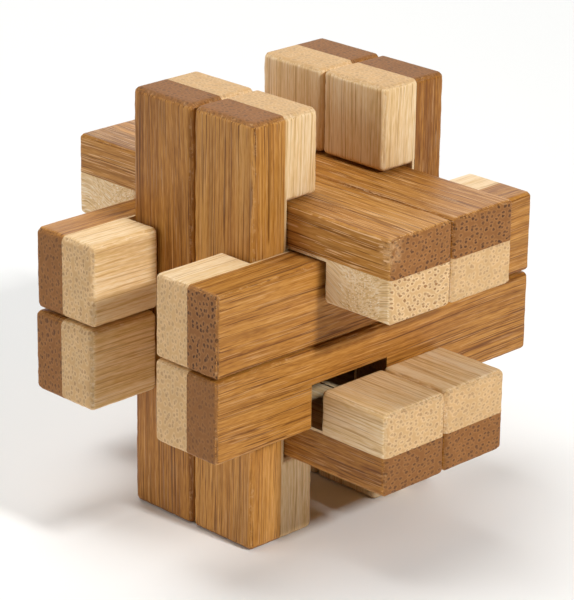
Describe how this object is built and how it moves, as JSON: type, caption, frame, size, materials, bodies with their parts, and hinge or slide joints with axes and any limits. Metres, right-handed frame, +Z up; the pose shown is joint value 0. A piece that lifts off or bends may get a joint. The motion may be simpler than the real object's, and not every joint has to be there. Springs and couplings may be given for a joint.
{
  "type": "burr puzzle",
  "caption": "Interlocking burr puzzle of square two-tone bamboo sticks in three crossing directions; a key stick slides sideways to start its release.",
  "frame": {"origin": "on the ground below the middle of the puzzle, standing on the lower ends of its uprights", "axes": "+Z up along the uprights, +X to the right along the top and bottom sticks, -Y to the front; the key stick slides towards -X"},
  "size_m": [0.0716, 0.0716, 0.0712],
  "materials": {
    "carbonised_bamboo": "sanded, carbonised bamboo ply with a thin wax",
    "natural_bamboo": "sanded, natural bamboo ply with a thin wax"
  },
  "bodies": {
    "front_right_upright": {"front_right_upright_dark_ply": "carbonised_bamboo", "front_right_upright_light_ply": "natural_bamboo"},
    "key_stick": {"key_stick_dark_ply": "carbonised_bamboo", "key_stick_light_ply": "natural_bamboo"},
    "bottom_back_stick": {"bottom_back_stick_dark_ply": "carbonised_bamboo", "bottom_back_stick_light_ply": "natural_bamboo"},
    "top_front_stick": {"top_front_stick_dark_ply": "carbonised_bamboo", "top_front_stick_light_ply": "natural_bamboo"},
    "top_back_stick": {"top_back_stick_dark_ply": "carbonised_bamboo", "top_back_stick_light_ply": "natural_bamboo"},
    "window_stick": {"window_stick_dark_ply": "carbonised_bamboo", "window_stick_light_ply": "natural_bamboo"},
    "right_upper_stick": {"right_upper_stick_dark_ply": "carbonised_bamboo", "right_upper_stick_light_ply": "natural_bamboo"},
    "left_lower_stick": {"left_lower_stick_dark_ply": "carbonised_bamboo", "left_lower_stick_light_ply": "natural_bamboo"},
    "left_upper_stick": {"left_upper_stick_dark_ply": "carbonised_bamboo", "left_upper_stick_light_ply": "natural_bamboo"},
    "front_left_upright": {"front_left_upright_dark_ply": "carbonised_bamboo", "front_left_upright_light_ply": "natural_bamboo"},
    "back_left_upright": {"back_left_upright_dark_ply": "carbonised_bamboo", "back_left_upright_light_ply": "natural_bamboo"},
    "back_right_upright": {"back_right_upright_dark_ply": "carbonised_bamboo", "back_right_upright_light_ply": "natural_bamboo"}
  },
  "joints": [
    {"name": "key_slide", "type": "slide", "parent": "front_right_upright", "child": "key_stick", "axis": [-1, 0, 0], "range_m": [-0.0002, 0.0355]},
    {"name": "bottom_back_play", "type": "slide", "parent": "front_right_upright", "child": "bottom_back_stick", "axis": [1, 0, 0], "range_m": [0, 0.0004]},
    {"name": "top_front_play", "type": "slide", "parent": "front_right_upright", "child": "top_front_stick", "axis": [1, 0, 0], "range_m": [-0.0004, 0]},
    {"name": "top_back_play", "type": "slide", "parent": "front_right_upright", "child": "top_back_stick", "axis": [1, 0, 0], "range_m": [-0.0003, 0.0001]},
    {"name": "window_play", "type": "slide", "parent": "front_right_upright", "child": "window_stick", "axis": [0, 1, 0], "range_m": [0, 0.0004]},
    {"name": "right_upper_play", "type": "slide", "parent": "front_right_upright", "child": "right_upper_stick", "axis": [0, 1, 0], "range_m": [-0.0001, 0.0003]},
    {"name": "left_lower_play", "type": "slide", "parent": "front_right_upright", "child": "left_lower_stick", "axis": [0, 1, 0], "range_m": [0, 0.0004]},
    {"name": "left_upper_play", "type": "slide", "parent": "front_right_upright", "child": "left_upper_stick", "axis": [0, 1, 0], "range_m": [-0.0004, 0]},
    {"name": "front_left_play", "type": "slide", "parent": "front_right_upright", "child": "front_left_upright", "axis": [0, 0, 1], "range_m": [-0.0002, 0.0002]},
    {"name": "back_left_play", "type": "slide", "parent": "front_right_upright", "child": "back_left_upright", "axis": [0, 0, 1], "range_m": [-0.0002, 0.0002]},
    {"name": "back_right_play", "type": "slide", "parent": "front_right_upright", "child": "back_right_upright", "axis": [0, 0, 1], "range_m": [-0.0002, 0.0002]}
  ]
}
